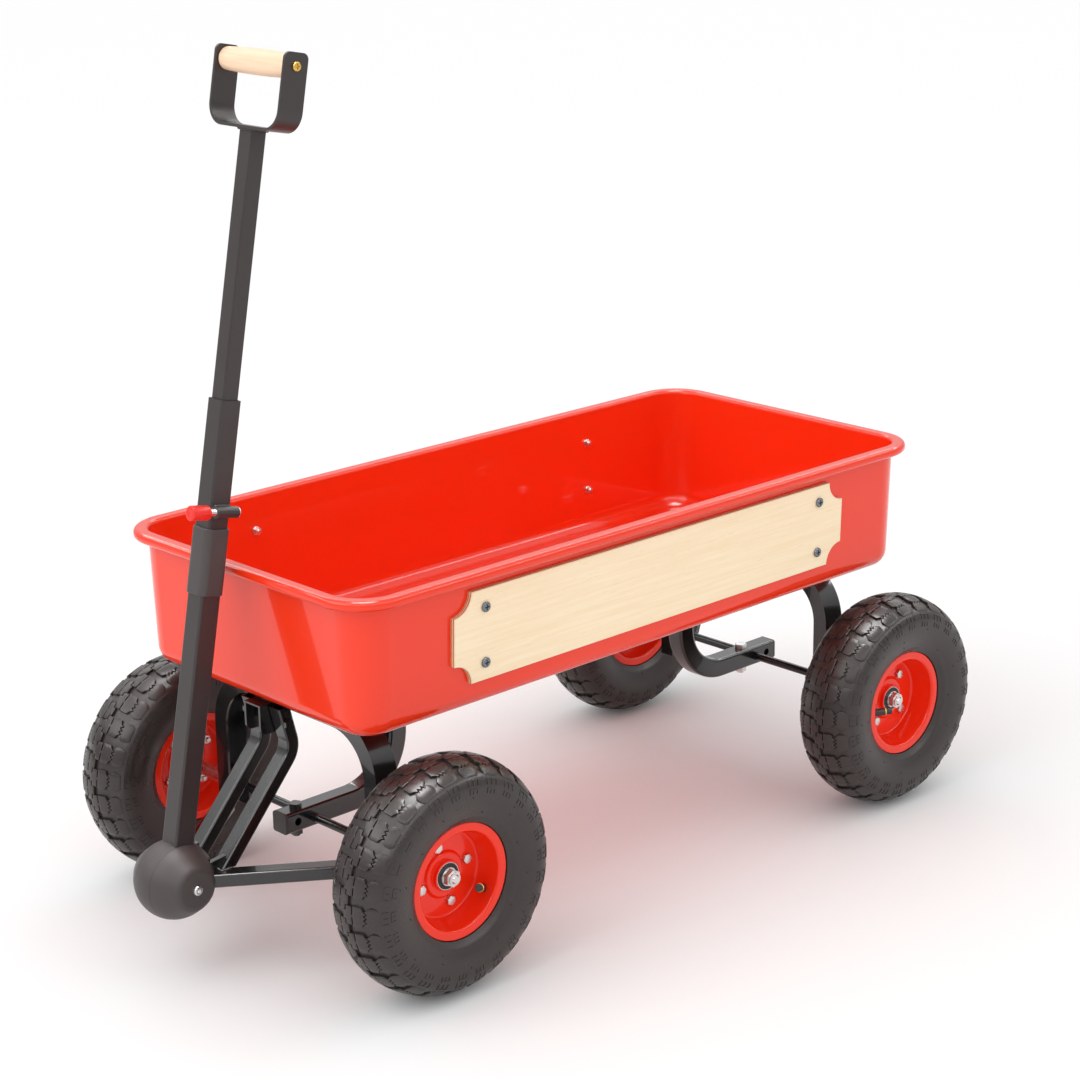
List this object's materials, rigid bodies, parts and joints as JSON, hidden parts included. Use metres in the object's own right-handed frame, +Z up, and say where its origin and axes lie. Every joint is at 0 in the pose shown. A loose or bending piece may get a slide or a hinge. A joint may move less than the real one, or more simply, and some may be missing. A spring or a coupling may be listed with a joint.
{
  "type": "children's pull wagon with pull handle",
  "caption": "Red steel pull wagon with wooden side boards, a steered front axle on a turntable, pneumatic wheels and a tilting, telescopic pull handle with a wooden grip.",
  "frame": {"origin": "middle of the overall length and width, on the ground under the tyres", "axes": "+X points forward to the pull handle along the wagon, +Y to the wagon's left, +Z up"},
  "size_m": [1.079, 0.534, 0.9676],
  "materials": {
    "red_paint": "gloss",
    "black_gloss": "gloss",
    "black_satin": "satin",
    "black_plastic": "matte",
    "tyre_rubber": "matte",
    "pale_wood": "satin",
    "zinc": "bright",
    "nylon": "matte",
    "red_vinyl": "satin",
    "brass_screw": "bright"
  },
  "bodies": {
    "wagon": {"tray": "red_paint", "plaque_left": "pale_wood", "plaque_right": "pale_wood", "plaque_screws": "zinc", "top_plate": "black_gloss", "thrust_washer": "nylon", "kingpin": "zinc", "rear_plate": "black_gloss", "floor_bolts": "zinc", "rear_arch": "black_gloss", "rear_hook": "black_gloss", "rear_hook_cap": "black_plastic", "rear_axle": "black_gloss", "rear_axle_fittings": "zinc"},
    "steering": {"front_arch": "black_gloss", "front_hook": "black_gloss", "front_hook_cap": "black_plastic", "front_axle": "black_gloss", "front_axle_fittings": "zinc", "turntable_plate": "black_gloss", "strut_left": "black_gloss", "strut_right": "black_gloss", "steering_bolts": "black_gloss", "brace_left": "black_gloss", "brace_right": "black_gloss", "ball_dome_left": "black_plastic", "ball_dome_right": "black_plastic", "pivot_bolt": "zinc"},
    "handle_lower": {"ball_core": "black_plastic", "handle_tube_lower": "black_satin", "handle_bumper": "black_plastic", "latch_barrel": "black_satin"},
    "handle_upper": {"handle_tube_upper": "black_satin", "grip_strap": "black_satin", "grip": "pale_wood", "grip_screws": "brass_screw"},
    "latch": {"latch_pin": "zinc", "latch_cap": "red_vinyl"},
    "wheel_front_left": {"tyre_front_left": "tyre_rubber", "inner_tube_front_left": "tyre_rubber", "rim_front_left": "red_paint", "rim_bolts_front_left": "zinc", "bearings_front_left": "zinc"},
    "wheel_front_right": {"tyre_front_right": "tyre_rubber", "inner_tube_front_right": "tyre_rubber", "rim_front_right": "red_paint", "rim_bolts_front_right": "zinc", "bearings_front_right": "zinc"},
    "wheel_rear_left": {"tyre_rear_left": "tyre_rubber", "inner_tube_rear_left": "tyre_rubber", "rim_rear_left": "red_paint", "rim_bolts_rear_left": "zinc", "bearings_rear_left": "zinc"},
    "wheel_rear_right": {"tyre_rear_right": "tyre_rubber", "inner_tube_rear_right": "tyre_rubber", "rim_rear_right": "red_paint", "rim_bolts_rear_right": "zinc", "bearings_rear_right": "zinc"}
  },
  "joints": [
    {"name": "steer", "type": "hinge", "parent": "wagon", "child": "steering", "pos_m": [0.3165, 0, 0.279], "axis": [0, 0, 1], "range_deg": [-20, 20]},
    {"name": "handle_tilt", "type": "hinge", "parent": "steering", "child": "handle_lower", "pos_m": [0.4965, 0, 0.11], "axis": [0, 1, 0], "range_deg": [0, 104]},
    {"name": "handle_extend", "type": "slide", "parent": "handle_lower", "child": "handle_upper", "axis": [-0.1908, 0, 0.9816], "range_m": [-0.26, 0]},
    {"name": "latch_push", "type": "slide", "parent": "handle_lower", "child": "latch", "axis": [-0.9816, 0, -0.1908], "range_m": [0, 0.008]},
    {"name": "spin_front_left", "type": "hinge", "parent": "steering", "child": "wheel_front_left", "pos_m": [0.3165, 0.225, 0.13], "axis": [0, 1, 0], "continuous": true},
    {"name": "spin_front_right", "type": "hinge", "parent": "steering", "child": "wheel_front_right", "pos_m": [0.3165, -0.225, 0.13], "axis": [0, 1, 0], "continuous": true},
    {"name": "spin_rear_left", "type": "hinge", "parent": "wagon", "child": "wheel_rear_left", "pos_m": [-0.4095, 0.225, 0.13], "axis": [0, 1, 0], "continuous": true},
    {"name": "spin_rear_right", "type": "hinge", "parent": "wagon", "child": "wheel_rear_right", "pos_m": [-0.4095, -0.225, 0.13], "axis": [0, 1, 0], "continuous": true}
  ]
}
